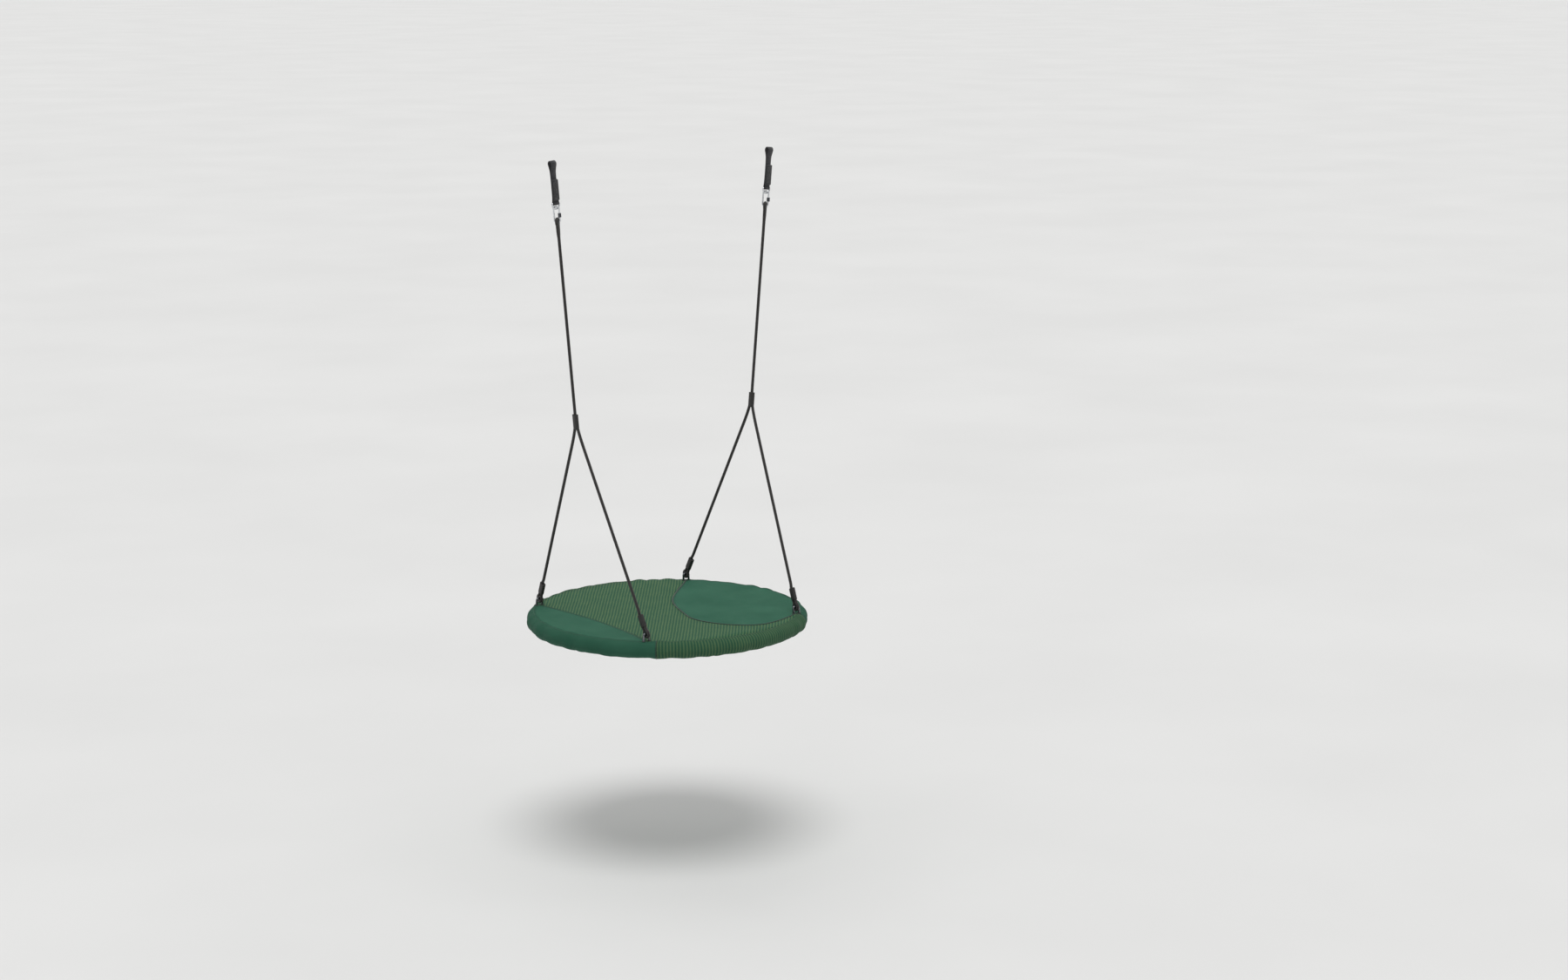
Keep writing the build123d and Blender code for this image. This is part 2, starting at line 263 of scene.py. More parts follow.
# --- Materials ----------------------------------------------------------------------------
def floor_material():
    """Pale matt floor, almost even."""
    n = Nodes("floor_paint", Roughness=0.85)
    return n.finish(n.ramp(n.noise(0.8), [(0.3, srgb(219, 219, 218)), (0.7, srgb(223, 223, 222))]))


def plain_fabric(name, shade):
    """Coated dark green fabric with a fine plain weave; shade blends in dark green as painted shade, for the
    rim bands.
    """
    n = Nodes(name, Specular_IOR_Level=0.10)
    u, v = n.uv()
    weave = n.math("MULTIPLY", n.wave(u, WEAVE_PITCH), n.wave(v, WEAVE_PITCH))
    cloud = n.noise(9.0, 4.0)
    base = n.ramp(cloud, [(0.3, srgb(44, 93, 73)), (0.7, srgb(54, 103, 82))])
    colour = n.mix(n.math("MULTIPLY", weave, 0.30), base, srgb(30, 68, 52))
    # Painted shade: shade blends the colour towards dark green, standing in for the shade on the rim's sides.
    colour = n.mix(shade, colour, srgb(20, 44, 34))
    rough = n.math("ADD", n.math("MULTIPLY", n.noise(40.0), 0.15), 0.62)
    height = n.math("ADD", weave, n.math("MULTIPLY", n.noise(60.0, 2.0), 1.6))
    return n.finish(colour, rough, height, 0.0004, 0.8)


def mesh_fabric(name, shade):
    """Olive ribbed mesh: raised ribs of short dashes with dark gaps; shade blends in dark green as painted
    shade, as above.
    """
    n = Nodes(name, Specular_IOR_Level=0.10)
    u, v = n.uv()
    drift = n.math("MULTIPLY", n.math("SUBTRACT", n.noise(14.0, 2.0), 0.5), 0.004)
    across = n.math("ADD", u, drift)
    rib = n.wave(across, RIB_PITCH)
    thread = n.wave(across, THREAD_PITCH)
    dash = n.wave(n.math("ADD", v, n.math("MULTIPLY", u, 0.5)), DASH_PITCH)
    tone = n.math("ADD", n.math("MULTIPLY", rib, 0.62), n.math("MULTIPLY", n.noise(22.0, 5.0), 0.38))
    base = n.ramp(tone, [(0.2, srgb(44, 88, 66)), (0.5, srgb(66, 106, 76)), (0.85, srgb(92, 120, 84))])
    gap = n.math("MULTIPLY", n.math("SUBTRACT", 1.0, thread), n.math("SUBTRACT", 1.0, dash))
    colour = n.mix(n.math("MULTIPLY", gap, 0.5, clamp=True), base, srgb(30, 62, 46))
    # Painted shade: shade blends the colour towards dark green, standing in for the shade on the rim's sides.
    colour = n.mix(shade, colour, srgb(20, 38, 30))
    height = n.math("ADD", n.math("MULTIPLY", rib, 1.3), n.math("MULTIPLY", thread, 0.5))
    height = n.math("ADD", height, n.math("MULTIPLY", dash, 0.35))
    rough = n.math("ADD", n.math("MULTIPLY", gap, 0.25), 0.6)
    return n.finish(colour, rough, height, 0.0011, 1.0)


def rope_braid():
    """Black braid: two sets of strands that cross as diamonds."""
    n = Nodes("black_braid", Sheen_Weight=0.2, Sheen_Roughness=0.5, Specular_IOR_Level=0.4)
    u, v = n.uv()
    turn = n.math("MULTIPLY", u, BRAID_STRANDS)
    run = n.math("MULTIPLY", v, 1.0 / BRAID_LAY)
    one = n.wave(n.math("ADD", turn, run), 1.0)
    two = n.wave(n.math("SUBTRACT", turn, run), 1.0)
    over = n.math("MAXIMUM", one, two)
    fibre = n.noise(900.0, 2.0)
    height = n.math("ADD", n.math("POWER", over, 1.6), n.math("MULTIPLY", fibre, 0.25))
    base = n.ramp(n.noise(120.0), [(0.3, srgb(30, 28, 26)), (0.75, srgb(52, 48, 44))])
    colour = n.mix(n.math("SUBTRACT", 1.0, n.math("POWER", over, 3.0), clamp=True), base, srgb(16, 15, 15))
    rough = n.math("ADD", n.math("MULTIPLY", fibre, 0.3), 0.5)
    return n.finish(colour, rough, height, 0.0009, 1.0)


def webbing_weave():
    """Black webbing: fine ribs across and a chevron along."""
    n = Nodes("black_webbing", Sheen_Weight=0.25, Sheen_Roughness=0.4, Specular_IOR_Level=0.4)
    u, v = n.uv()
    across = n.wave(u, WEBBING_RIB_PITCH)
    slant = n.wave(n.math("ADD", v, n.math("PINGPONG", u, 0.0025)), CHEVRON_PITCH)
    height = n.math("ADD", n.math("MULTIPLY", across, 0.5), slant)
    base = n.ramp(n.noise(160.0), [(0.3, srgb(44, 44, 47)), (0.7, srgb(64, 64, 68))])
    colour = n.mix(n.math("MULTIPLY", n.math("SUBTRACT", 1.0, slant), 0.5), base, srgb(20, 20, 22))
    return n.finish(colour, n.math("ADD", n.math("MULTIPLY", slant, 0.2), 0.5), height, 0.0005, 1.0)


def steel(name, light, dark, roughness, spread):
    """Plated or galvanised steel with faint blotches and fine scratches."""
    n = Nodes(name, Metallic=1.0)
    blotch = n.noise(260.0, 6.0)
    colour = n.ramp(blotch, [(0.35, dark), (0.65, light)])
    rough = n.math("ADD", n.math("MULTIPLY", n.noise(700.0, 3.0), spread), roughness)
    return n.finish(colour, rough, n.noise(1500.0, 2.0), 0.0001, 0.35)


def sleeve_black():
    """Black sleeve shrunk over a pressed ferrule."""
    n = Nodes("black_sleeve", Specular_IOR_Level=0.45)
    colour = n.ramp(n.noise(180.0, 4.0), [(0.3, srgb(26, 25, 25)), (0.75, srgb(42, 41, 40))])
    rough = n.math("ADD", n.math("MULTIPLY", n.noise(90.0), 0.25), 0.38)
    return n.finish(colour, rough, n.noise(330.0, 3.0), 0.0004, 0.6)


def foam_cells():
    """Black foam with small open cells."""
    n = Nodes("black_foam", Roughness=0.9, Specular_IOR_Level=0.2)
    cells = n.add("ShaderNodeTexVoronoi", {"Vector": n.place(), "Scale": 700.0}).outputs["Distance"]
    colour = n.ramp(cells, [(0.0, srgb(20, 20, 20)), (0.6, srgb(48, 48, 48))])
    return n.finish(colour, None, cells, 0.0006, 0.8)


def thread_material(name, light, dark):
    """Twisted thread or cord edging in two tones of one colour."""
    n = Nodes(name, Roughness=0.6, Sheen_Weight=0.2)
    twist = n.noise(1400.0, 2.0)
    return n.finish(n.ramp(twist, [(0.3, dark), (0.7, light)]), None, twist, 0.0002, 0.7)


# --- Mesh helpers -------------------------------------------------------------------------
def new_piece(name, points, faces, material, uv=None):
    """Smooth-shaded mesh object; uv has one entry per point."""
    mesh = bpy.data.meshes.new(name)
    mesh.from_pydata([tuple(p) for p in points], [], faces)
    mesh.materials.append(material)
    if uv is not None:
        layer = mesh.uv_layers.new(name="UVMap")
        for loop in mesh.loops:
            layer.data[loop.index].uv = uv[loop.vertex_index]
    mesh.polygons.foreach_set("use_smooth", [True] * len(mesh.polygons))
    piece = bpy.data.objects.new(name, mesh)
    bpy.context.scene.collection.objects.link(piece)
    return piece


def smooth_line(points, fineness=10):
    """Points along a smooth NURBS curve that has these control points."""
    curve = bpy.data.curves.new("route", "CURVE")
    curve.dimensions = "3D"
    spline = curve.splines.new("NURBS")
    spline.points.add(len(points) - 1)
    for knot, point in zip(spline.points, points):
        knot.co = (*point, 1.0)
    spline.order_u = 3
    spline.use_endpoint_u = True
    spline.resolution_u = fineness
    holder = bpy.data.objects.new("route", curve)
    mesh = bpy.data.meshes.new_from_object(holder)
    line = [v.co.copy() for v in mesh.vertices]
    bpy.data.objects.remove(holder)
    bpy.data.curves.remove(curve)
    bpy.data.meshes.remove(mesh)
    return line


def along(line):
    """Distance along a line to each of its points."""
    total = [0.0]
    for a, b in zip(line, line[1:]):
        total.append(total[-1] + (b - a).length)
    return total


def tube(name, line, radius, material, sides=16, closed=False):
    """Round tube whose UV is turns around, then metres along."""
    count = len(line)
    distance = along(line)
    ahead = [line[(i + 1) % count] if closed or i + 1 < count else line[i] for i in range(count)]
    behind = [line[i - 1] if closed or i else line[i] for i in range(count)]
    tangents = [(a - b).normalized() for a, b in zip(ahead, behind)]
    side = tangents[0].orthogonal().normalized()
    points, uv = [], []
    for i, (centre, tangent) in enumerate(zip(line, tangents)):
        side = (side - tangent * side.dot(tangent)).normalized()
        other = tangent.cross(side)
        r = radius(distance[i]) if callable(radius) else radius
        for k in range(sides + 1):
            angle = 2 * pi * k / sides
            points.append(centre + (side * cos(angle) + other * sin(angle)) * r)
            uv.append((k / sides, distance[i]))
    ring = sides + 1
    faces = [(i * ring + k, i * ring + k + 1, (i + 1) * ring + k + 1, (i + 1) * ring + k)
             for i in range(count - 1) for k in range(sides)]
    if closed:
        last = (count - 1) * ring
        faces += [(last + k, last + k + 1, k + 1, k) for k in range(sides)]
    else:
        faces.append(tuple(reversed(range(sides))))
        faces.append(tuple((count - 1) * ring + k for k in range(sides)))
    return new_piece(name, points, faces, material, uv)


def ribbon(name, line, across, width, thick, material):
    """Flat woven strip along a line; its UV is metres across, then metres along."""
    half, edge = width / 2, thick / 2
    section = [(-half + edge, edge), (half - edge, edge), (half, 0), (half - edge, -edge),
               (-half + edge, -edge), (-half, 0)]
    count, ring = len(line), len(section)
    distance = along(line)
    points, uv = [], []
    for i, centre in enumerate(line):
        tangent = (line[min(i + 1, count - 1)] - line[max(i - 1, 0)]).normalized()
        normal = tangent.cross(across).normalized()
        for x, y in section:
            points.append(centre + across * x + normal * y)
            uv.append((x, distance[i]))
    faces = [(i * ring + k, i * ring + (k + 1) % ring, (i + 1) * ring + (k + 1) % ring, (i + 1) * ring + k)
             for i in range(count - 1) for k in range(ring)]
    faces.append(tuple(reversed(range(ring))))
    faces.append(tuple((count - 1) * ring + k for k in range(ring)))
    return new_piece(name, points, faces, material, uv)


# Along a stitch: place as a share of its length, thickness and rise as shares of its radius.
STITCH_PROFILE = ((-0.5, 0.45, -0.5), (-0.25, 1.0, 0.5), (0.25, 1.0, 0.5), (0.5, 0.45, -0.5))


def stitches(name, line, lift, material, pitch=0.0044, length=0.0034, radius=0.00035):
    """Row of short raised threads along a line; lift gives the surface's outward side at a point."""
    distance = along(line)
    points, faces = [], []
    place, i = pitch / 2, 0
    while place < distance[-1]:
        while distance[i + 1] < place:
            i += 1
        run = (line[i + 1] - line[i]).normalized()
        centre = line[i] + run * (place - distance[i])
        out = lift(centre)
        side = run.cross(out).normalized()
        start = len(points)
        for step, size, rise in STITCH_PROFILE:
            middle = centre + run * length * step + out * radius * rise
            for k in range(6):
                angle = pi * k / 3
                points.append(middle + (side * cos(angle) + out * sin(angle)) * radius * size)
        for s in range(3):
            for k in range(6):
                a, b = start + s * 6, start + (s + 1) * 6
                faces.append((a + k, a + (k + 1) % 6, b + (k + 1) % 6, b + k))
        place += pitch
    return new_piece(name, points, faces, material)


# --- Places -------------------------------------------------------------------------------
def hang_axes(side):
    """Level, back and up directions on one upper rope's line."""
    across = Vector((cos(LEAN), 0, -side * sin(LEAN)))
    up = Vector((side * sin(LEAN), 0, cos(LEAN)))
    return across, Vector((0, 1, 0)), up


def hang_point(side, drop):
    """Point on one upper rope's line, this far below the top loop."""
    return Vector((side * LOOP_SPACING / 2, 0, 0)) - hang_axes(side)[2] * drop


def lug_point(corner, radius, z):
    """Point above or below a lug, at this radius from the seat's axis."""
    return Vector((corner[0] * radius * cos(LUG_AZIMUTH), corner[1] * radius * sin(LUG_AZIMUTH), z))


def rope_mouth(corner):
    """Where a lower rope leaves its Y ferrule."""
    return hang_point(corner[0], MOUTH_DROP) + Vector((0, corner[1] * LEG_SPREAD, 0))


def eye_axes(corner):
    """Centre of a lower rope's eye, its level and up directions, and the lug bar's direction."""
    centre = lug_point(corner, LUG_EYE_RADIUS, LUG_EYE_Z)
    up = (rope_mouth(corner) - centre).normalized()
    level = up.cross(Vector((1, 0, 0))).normalized()
    return centre, level, up, up.cross(level)


def eye_route(centre, level, up):
    """Control points once round an eye, from the leg on one side to the leg on the other."""
    step = radians(30)
    reach = EYE_R / cos(step / 2)
    route = [centre + level * LEG_SPREAD + up * LEG_REACH]
    for k in range(-2, 9):
        angle = k * step
        route.append(centre + (level * cos(angle) - up * sin(angle)) * reach)
    route.append(centre - level * LEG_SPREAD + up * LEG_REACH)
    return route


# --- Ropes --------------------------------------------------------------------------------
def make_upper_rope(label, side, braid):
    """From the Y ferrule up, round the eye in the link and back beside itself."""
    across, back, up = hang_axes(side)
    throat, tail = 0.226, 0.240
    turn = LINK_TURN + pi / 2
    level = across * cos(turn) + back * sin(turn)
    eye = hang_point(side, EYE_DROP)
    drops = (UPPER_ROPE_END, 0.70, 0.56, 0.42, 0.30, 0.245, throat)
    route = [hang_point(side, drop) for drop in drops]
    route += eye_route(eye, level, -up)
    route += [hang_point(side, throat), hang_point(side, tail)]
    line = smooth_line(route)
    rope = tube(f"{label}_upper_rope_braid", line, ROPE_R, braid)
    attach(rope, "ropes")
    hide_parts(f"{label}_upper_rope")


def make_lower_rope(label, corner, braid):
    """From inside the Y ferrule down, round the eye on the lug's bar and back."""
    centre, level, up, _ = eye_axes(corner)
    mouth = rope_mouth(corner)
    inside = mouth + hang_axes(corner[0])[2] * 0.016
    run = (mouth - centre).length
    route = [inside, mouth]
    route += [centre + up * run * share for share in (0.8, 0.6, 0.4, 0.25, 0.14)]
    route += [centre + up * 0.072, centre + up * 0.056 + level * LEG_SPREAD]
    route += eye_route(centre, level, up) + [centre + up * 0.046 - level * LEG_SPREAD]
    line = smooth_line(route)
    rope = tube(f"{label}_rope_braid", line, ROPE_R, braid)
    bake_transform(rope)
    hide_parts(f"{label}_rope")


# --- Straps -------------------------------------------------------------------------------
def make_strap(label, side, weave, thread):
    """Webbing with a loop at each end, its folded end and the sewn box with a cross."""
    across, back, _ = hang_axes(side)

    def at(y, drop):
        return hang_point(side, drop) + back * y

    body = [at(PLY / 2, 0.060), at(PLY / 2, 0.026), at(0.0045, 0.0135)]
    for k in range(-1, 8):
        angle = radians(30 * k)
        body.append(at(TOP_LOOP_R * LOOP_OUTSET * cos(angle), -TOP_LOOP_R * LOOP_OUTSET * sin(angle)))
    body += [at(-0.0045, 0.0135), at(-PLY / 2, 0.026), at(-PLY / 2, 0.060), at(-PLY / 2, 0.104)]
    for k in range(-1, 8):
        angle = radians(30 * k)
        body.append(at(-LOW_LOOP_R * LOOP_OUTSET * cos(angle),
                       STRAP_DROP + LOW_LOOP_R * LOOP_OUTSET * sin(angle)))
    body += [at(PLY / 2, 0.104), at(PLY / 2, 0.060)]
    strap = ribbon(f"{label}_webbing", smooth_line(body, 5), across, WEBBING_WIDTH, PLY, weave)
    fold = [at(-PLY * 1.5, 0.110)]
    bends = ((0.050, 0.048), (0.109, 0.111), (0.0505, 0.0485))  # the drop each starts at and reaches
    for layer, (turn, over) in enumerate(bends):
        near, far = -PLY * (layer + 1.5), -PLY * (layer + 2.5)
        fold += [at(near, turn), at(near, over), at(far, over), at(far, turn)]
    fold.append(at(-PLY * 4.5, 0.110))
    flap = ribbon(f"{label}_webbing_fold", smooth_line(fold, 5), across, WEBBING_WIDTH, PLY, weave)
    for piece in (strap, flap):
        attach(piece, "straps")
    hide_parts(f"{label}_strap")
    face = -PLY * 5 - 0.0002
    half = WEBBING_WIDTH / 2 - STITCH_INSET
    drops = (0.056, 0.060, 0.100, 0.104)
    rows = [((-half, drop), (half, drop)) for drop in drops]
    rows += [((x, drops[0]), (x, drops[-1])) for x in (-half, half)]
    rows += [((-x, 0.062), (x, 0.098)) for x in (half, -half)]
    for number, ends in enumerate(rows):
        line = [at(face, drop) + across * x for x, drop in ends]
        row = stitches(f"{label}_strap_stitch_{number}", line, lambda p: -back, thread,
                       pitch=0.0032, length=0.0025, radius=0.0004)
        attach(row, "straps")


# --- Seat cover ---------------------------------------------------------------------------
def puff(azimuth, angle):
    """How far the cover stands off the even rim: gathers between pleats, more on the outside."""
    wander = noise.noise(Vector((3 * cos(azimuth), 3 * sin(azimuth), 1.7)))
    depth = 0.65 + 0.9 * noise.noise(Vector((7 * cos(azimuth), 7 * sin(azimuth), 5.1)))
    pleat = abs(sin(PLEAT_WAVES * azimuth + wander * 4)) * max(depth, 0.15)
    ripple = noise.noise(Vector((RING_R * 26 * cos(azimuth), RING_R * 26 * sin(azimuth), angle * 1.6)))
    outside = 0.60 + 0.40 * max(0.0, cos(angle / 1.35)) ** 2
    return (PLEAT_DEPTH * (pleat - PLEAT_LEVEL) + RIPPLE_DEPTH * ripple) * outside


def top_height(x, y):
    """Level of the stretched top: a shallow dish with soft pulls towards the lugs."""
    radius, azimuth = hypot(x, y), atan2(y, x)
    share = min(radius / RING_R, 1.0)
    dish = -DISH_DEPTH * (1 - share ** 2)
    edge = puff(azimuth, pi / 2) * max(0.0, 1 - (1 - share) * RING_R / EDGE_REACH) ** 2
    pull = 0.0
    for corner in CORNERS.values():
        gap = Vector((x, y)) - lug_point(corner, LUG_EYE_RADIUS, 0).to_2d()
        ridge = cos(9 * atan2(gap.y, gap.x)) * min(gap.length / 0.05, 1.0)
        pull += PULL_DEPTH * ridge * max(0.0, 1 - gap.length / PULL_REACH) ** 2
    soft = SOFT_DEPTH * noise.noise(Vector((x * 9, y * 9, 0.4))) * (1 - share ** 4)
    return SEAT_TOP + dish + edge + (pull + soft) * (1 - share ** 6)


def rim_point(azimuth):
    """Point of the rim's top line, in plan."""
    return Vector((RING_R * cos(azimuth), RING_R * sin(azimuth)))


def rim_arc(start, end):
    """Evenly spaced points along the rim's top line, in plan."""
    count = max(2, ceil(abs(end - start) * RING_R / OUTLINE_STEP))
    return [rim_point(start + (end - start) * k / count) for k in range(count + 1)]


def left_seam():
    """Bowed chord between the two left lugs, back to front."""
    back = rim_point(pi - LUG_AZIMUTH)
    bow = Vector((LEFT_SEAM_BOW, 0.0))
    steps = 36
    middle = (back.x ** 2 + back.y ** 2 - bow.x ** 2) / (2 * (back.x - bow.x))
    radius = bow.x - middle
    half = atan2(back.y, back.x - middle)
    return [Vector((middle + radius * cos(half * t / steps), radius * sin(half * t / steps)))
            for t in range(steps, -steps - 1, -1)]


def right_seam():
    """Edge of the round plain panel, back to front, through the same points as the CAD outline."""
    between = ((0.100, 0.109), (0.020, -0.064), (-0.002, -0.173), (0.045, -0.295), (0.136, -0.350))
    knots = [rim_point(LUG_AZIMUTH), *(Vector(p) for p in between), rim_point(-LUG_AZIMUTH)]
    ends = [2 * knots[0] - knots[1], *knots, 2 * knots[-1] - knots[-2] + Vector((0.05, 0.05))]
    line = []
    for a, b, c, d in zip(ends, ends[1:], ends[2:], ends[3:]):
        steps = ceil((c - b).length / OUTLINE_STEP)
        for k in range(steps):
            t = k / steps
            line.append(0.5 * (2 * b + (c - a) * t + (2 * a - 5 * b + 4 * c - d) * t ** 2
                               + (3 * b - 3 * c + d - a) * t ** 3))
    return line + [knots[-1]]


def on_top(points, lift=0.0):
    """The same points raised to the stretched top."""
    return [Vector((p.x, p.y, top_height(p.x, p.y) + lift)) for p in points]


def is_inside(point, outline):
    """Whether a point lies in a closed outline, by counting the edges to its right."""
    hit = False
    for a, b in zip(outline, outline[1:] + outline[:1]):
        if (a.y > point.y) != (b.y > point.y):
            if point.x < a.x + (point.y - a.y) * (b.x - a.x) / (b.y - a.y):
                hit = not hit
    return hit


def grid_cell(point):
    """Column and row of the grid square that a point lies in."""
    return int(point.x // GRID_STEP), int(point.y // GRID_STEP)


def top_panel(name, outline, material, rib_angle):
    """Sheet cut to an outline and stretched over the ring; its UV runs across and along its ribs."""
    verts = list(outline)
    near = {}
    for p in outline:
        near.setdefault(grid_cell(p), []).append(p)
    reach = int(RING_R / GRID_STEP) + 1
    for i in range(-reach, reach + 1):
        for j in range(-reach, reach + 1):
            p = Vector(((i + 0.5 * (j % 2)) * GRID_STEP, j * GRID_STEP * 0.87))
            column, row = grid_cell(p)
            close = [q for dx in (-1, 0, 1) for dy in (-1, 0, 1)
                     for q in near.get((column + dx, row + dy), ())]
            is_clear = all((p - q).length > GRID_CLEAR for q in close)
            if is_clear and p.length < RING_R and is_inside(p, outline):
                verts.append(p)
    edges = [(k, (k + 1) % len(outline)) for k in range(len(outline))]
    flat, _, faces, *_ = delaunay_2d_cdt(verts, edges, [], 1, 1e-6)
    c, s = cos(rib_angle), sin(rib_angle)
    uv = [(p.x * c - p.y * s, p.x * s + p.y * c) for p in flat]
    piece = new_piece(name, on_top(flat), [tuple(f) for f in faces], material, uv)
    thicken(piece)
    return piece


def thicken(piece):
    """Give a sheet the cloth's thickness, inwards from its outer face."""
    solid = piece.modifiers.new("cloth", "SOLIDIFY")
    solid.thickness = CLOTH_THICKNESS
    solid.offset = -1.0


def band_point(azimuth, angle, lift=0.0):
    """Point on the rim's cover; angle 90 degrees is its top line and 0 its outside."""
    reach = RIM_R + puff(azimuth, angle) + lift
    radius = RING_R + reach * cos(angle)
    return Vector((radius * cos(azimuth), radius * sin(azimuth), RING_Z + reach * sin(angle)))


def rim_band(name, start, end, material):
    """Part of the rim's cover between two seams, from its top line to the hem underneath."""
    columns = ceil(radians(end - start) * RING_R / 0.007)
    rows = 44
    points, uv = [], []
    for i in range(columns + 1):
        azimuth = radians(start + (end - start) * i / columns)
        for j in range(rows + 1):
            angle = radians(90 + (HEM_ANGLE - 90) * j / rows)
            gather = HEM_DEPTH * sin(azimuth * HEM_WAVES) * (j / rows) ** 6
            points.append(band_point(azimuth, angle, gather))
            uv.append((azimuth * RING_R, -angle * RIM_R))
    ring = rows + 1
    faces = [(i * ring + j, i * ring + j + 1, (i + 1) * ring + j + 1, (i + 1) * ring + j)
             for i in range(columns) for j in range(rows)]
    piece = new_piece(name, points, faces, material, uv)
    thicken(piece)
    return piece


def seam_across_band(azimuth):
    """Line over the rim where two bands are sewn together."""
    steps = 40
    return [band_point(azimuth, radians(90 + (HEM_ANGLE - 90) * k / steps), 0.0003) for k in range(steps + 1)]


def make_panels(left, right, plain, mesh):
    """The three sheets of the top; left and right are the seams between them."""
    front = rim_arc(pi + LUG_AZIMUTH, 2 * pi - LUG_AZIMUTH)
    back = rim_arc(LUG_AZIMUTH, pi - LUG_AZIMUTH)
    outlines = {
        "left_panel": (left + rim_arc(pi + LUG_AZIMUTH, pi - LUG_AZIMUTH)[1:-1], plain, 0.0),
        "right_panel": (right + rim_arc(-LUG_AZIMUTH, LUG_AZIMUTH)[1:-1], plain, 0.3),
        "mesh_panel": (left + front[1:] + right[::-1][1:] + back[1:-1], mesh, radians(38)),
    }
    for node, (outline, material, rib_angle) in outlines.items():
        piece = top_panel(node.replace("panel", "top_sheet"), outline, material, rib_angle)
        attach(piece, "seat")
        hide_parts(node)


def make_bands(plain, mesh, welt):
    """The four bands round the rim, each with the seam at its start; their fabrics are the copies darkened
    with painted shade.
    """
    lug = degrees(LUG_AZIMUTH)
    bands = {
        "left_band": (LEFT_SEAM_AZIMUTH, 360 - LEFT_SEAM_AZIMUTH, plain),
        "front_band": (360 - LEFT_SEAM_AZIMUTH, 360 - lug, mesh),
        "right_band": (-lug, lug, plain),
        "back_band": (lug, LEFT_SEAM_AZIMUTH, mesh),
    }
    for node, (start, end, material) in bands.items():
        piece = rim_band(f"{node}_cloth", start, end, material)
        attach(piece, "seat")
        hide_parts(node)
        seam = tube(f"{node}_seam", seam_across_band(radians(start)), 0.0009, welt, 8)
        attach(seam, "seat")


def make_seams(left, right, thread, welt):
    """Welt and seam between the panels, and the rows of stitches on the cover."""
    up = Vector((0, 0, 1))
    pieces = [tube("right_panel_welt", on_top(right, 0.0005), 0.0017, welt, 10),
              tube("left_panel_seam", on_top(left, 0.0001), 0.0007, thread, 8)]
    rows = [("right_panel_stitches", right, 0.006), ("left_seam_stitches_a", left, -0.004),
            ("left_seam_stitches_b", left, 0.004)]
    for name, seam, shift in rows:
        beside = [p + Vector((shift, 0)) for p in seam[2:-2]]
        pieces.append(stitches(name, on_top(beside, 0.0002), lambda p: up, thread))
    steps = 720
    rings = (("rim_stitches", pi / 2 - 0.16, up), ("hem_stitches", radians(HEM_ANGLE + 14), -up))
    for name, angle, out in rings:
        ring = [band_point(2 * pi * k / steps, angle, 0.0002) for k in range(steps + 1)]
        pieces.append(stitches(name, ring, lambda p: out, thread))
    for piece in pieces:
        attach(piece, "seat")


def make_foam(material):
    """Foam sleeves round the hoop, between the lugs."""
    lug, steps = degrees(LUG_AZIMUTH), 90
    spans = {"right": (-lug, lug), "back": (lug, 180 - lug), "left": (180 - lug, 180 + lug),
             "front": (180 + lug, 360 - lug)}
    for label, (start, end) in spans.items():
        a, b = radians(start + FOAM_GAP), radians(end - FOAM_GAP)
        line = [Vector((*rim_point(a + (b - a) * k / steps), RING_Z)) for k in range(steps + 1)]
        sleeve = tube(f"{label}_foam_sleeve", line, lambda s: FOAM_R + 0.0003 * sin(s * 60), material, 28)
        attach(sleeve, "seat")
        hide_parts(f"{label}_foam")


def make_eyelets(thread):
    """Sewn eyelets where each leg of a lug comes up through the cover."""
    for label, corner in CORNERS.items():
        centre, _, _, bar = eye_axes(corner)
        outward = lug_point(corner, 1.0, 0).normalized()
        for hand in (-1, 1):
            top = centre + bar * LUG_HALF_WIDTH * hand
            share = (top.z - SEAT_TOP) / (top.z - RING_Z)
            foot = top + outward * LUG_FOOT_LEAN * share
            on_panel = foot.to_2d().length < RING_R
            z = (top_height(foot.x, foot.y) if on_panel else SEAT_TOP - 0.0008) + 0.0006
            angles = [pi * k / 12 for k in range(24)]
            line = [Vector((foot.x + EYELET_R * cos(a), foot.y + EYELET_R * sin(a), z)) for a in angles]
            name = f"{label}_eyelet_{'a' if hand < 0 else 'b'}"
            eyelet = tube(name, line, EYELET_THREAD_R, thread, 8, closed=True)
            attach(eyelet, "seat")


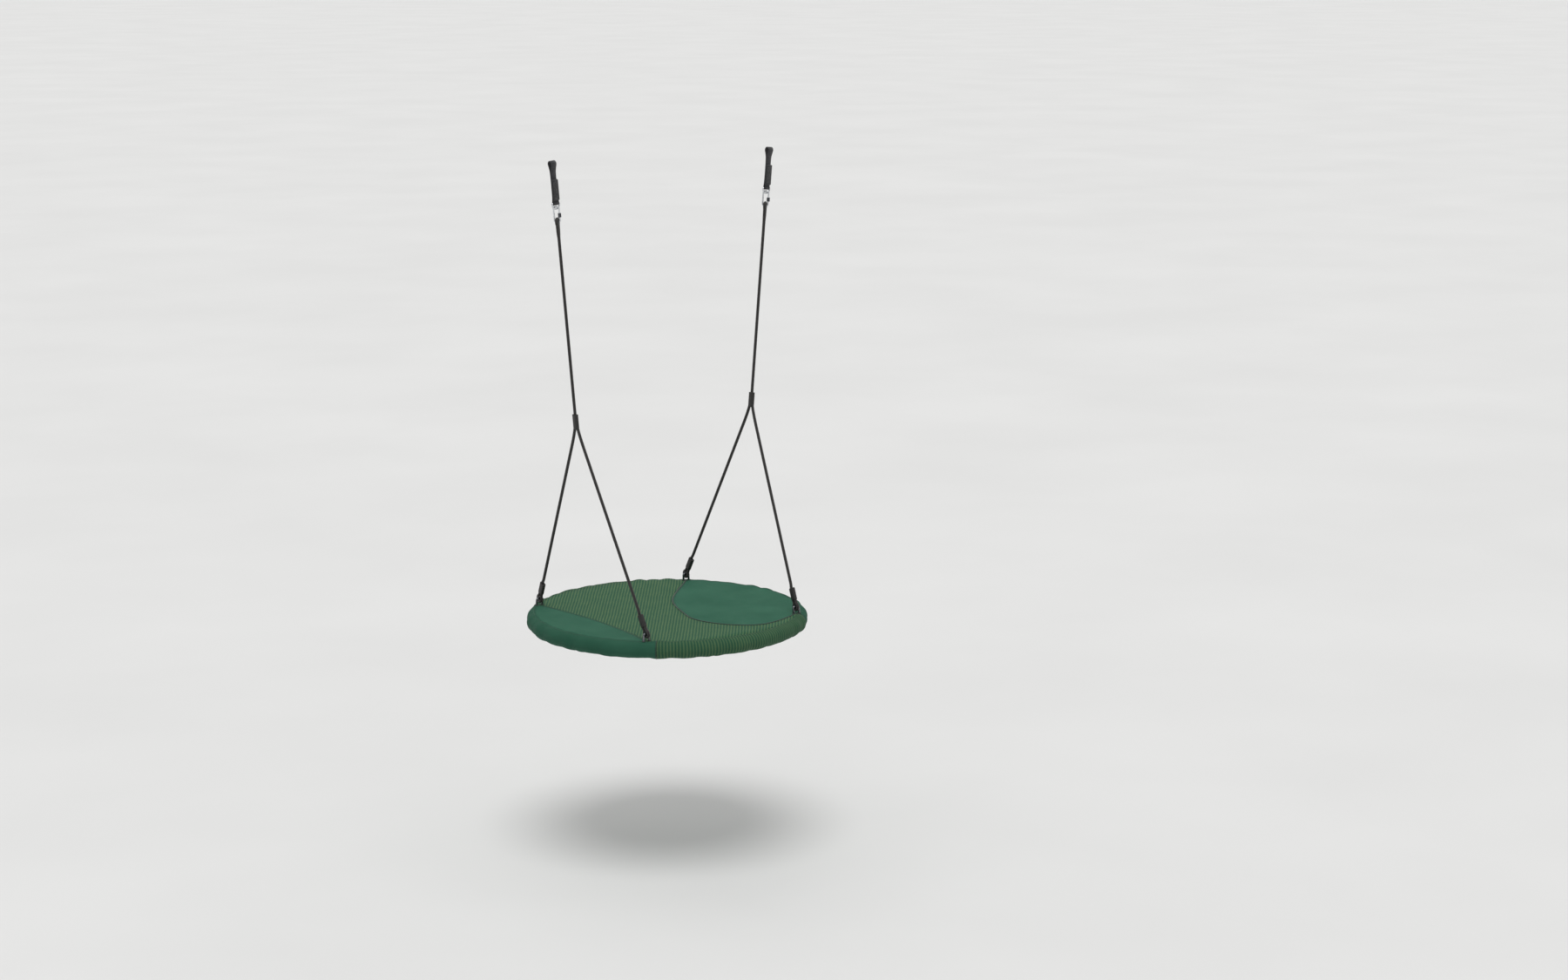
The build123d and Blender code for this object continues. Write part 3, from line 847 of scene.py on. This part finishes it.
# --- CAD pieces that stay -----------------------------------------------------------------
def paint(names, material):
    """Give CAD nodes a material; nothing else about them changes."""
    for name in names:
        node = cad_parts[name]
        node.data.materials.clear()
        node.data.materials.append(material)


def main():
    """Build the camera, the studio and every piece, then paint the CAD pieces that stay."""
    make_camera()
    make_studio()
    braid, weave = rope_braid(), webbing_weave()
    plain = plain_fabric("plain_green_fabric", 0.0)
    mesh = mesh_fabric("ribbed_green_mesh", 0.0)
    # Copies of the two fabrics darkened with painted shade, for the rim's sides.
    rim_plain = plain_fabric("plain_rim_fabric_painted_shade", 0.26)
    rim_mesh = mesh_fabric("ribbed_rim_mesh_painted_shade", 0.22)
    thread = thread_material("green_thread", srgb(50, 96, 74), srgb(36, 74, 56))
    welt = thread_material("dark_green_welt", srgb(22, 52, 40), srgb(14, 34, 26))
    grey = thread_material("grey_thread", srgb(112, 112, 110), srgb(84, 84, 82))
    for label, side in SIDES.items():
        make_upper_rope(label, side, braid)
        make_strap(label, side, weave, grey)
    for label, corner in CORNERS.items():
        make_lower_rope(label, corner, braid)
    left, right = left_seam(), right_seam()
    make_panels(left, right, plain, mesh)
    make_bands(rim_plain, rim_mesh, welt)
    make_seams(left, right, thread, welt)
    make_foam(foam_cells())
    make_eyelets(welt)
    bright = steel("plated_steel", srgb(226, 228, 230), srgb(196, 198, 202), 0.12, 0.14)
    dark = steel("dark_plated_steel", srgb(92, 94, 98), srgb(60, 61, 64), 0.24, 0.2)
    zinc = steel("zinc_steel", srgb(128, 131, 134), srgb(84, 87, 90), 0.18, 0.20)
    paint([f"{s}_{p}" for s in SIDES for p in ("d_ring", "link")], bright)
    paint([f"{s}_sleeve_nut" for s in SIDES], dark)
    paint([f"{s}_top_thimble" for s in SIDES] + [f"{c}_thimble" for c in CORNERS], dark)
    paint([f"{c}_lug" for c in CORNERS], zinc)
    paint(["front_hoop", "back_hoop", "left_spigot", "right_spigot", "hoop_screws"], zinc)
    paint([f"{s}_y_ferrule" for s in SIDES] + [f"{c}_ferrule" for c in CORNERS], sleeve_black())
    paint(["hem_cord"], braid)


main()
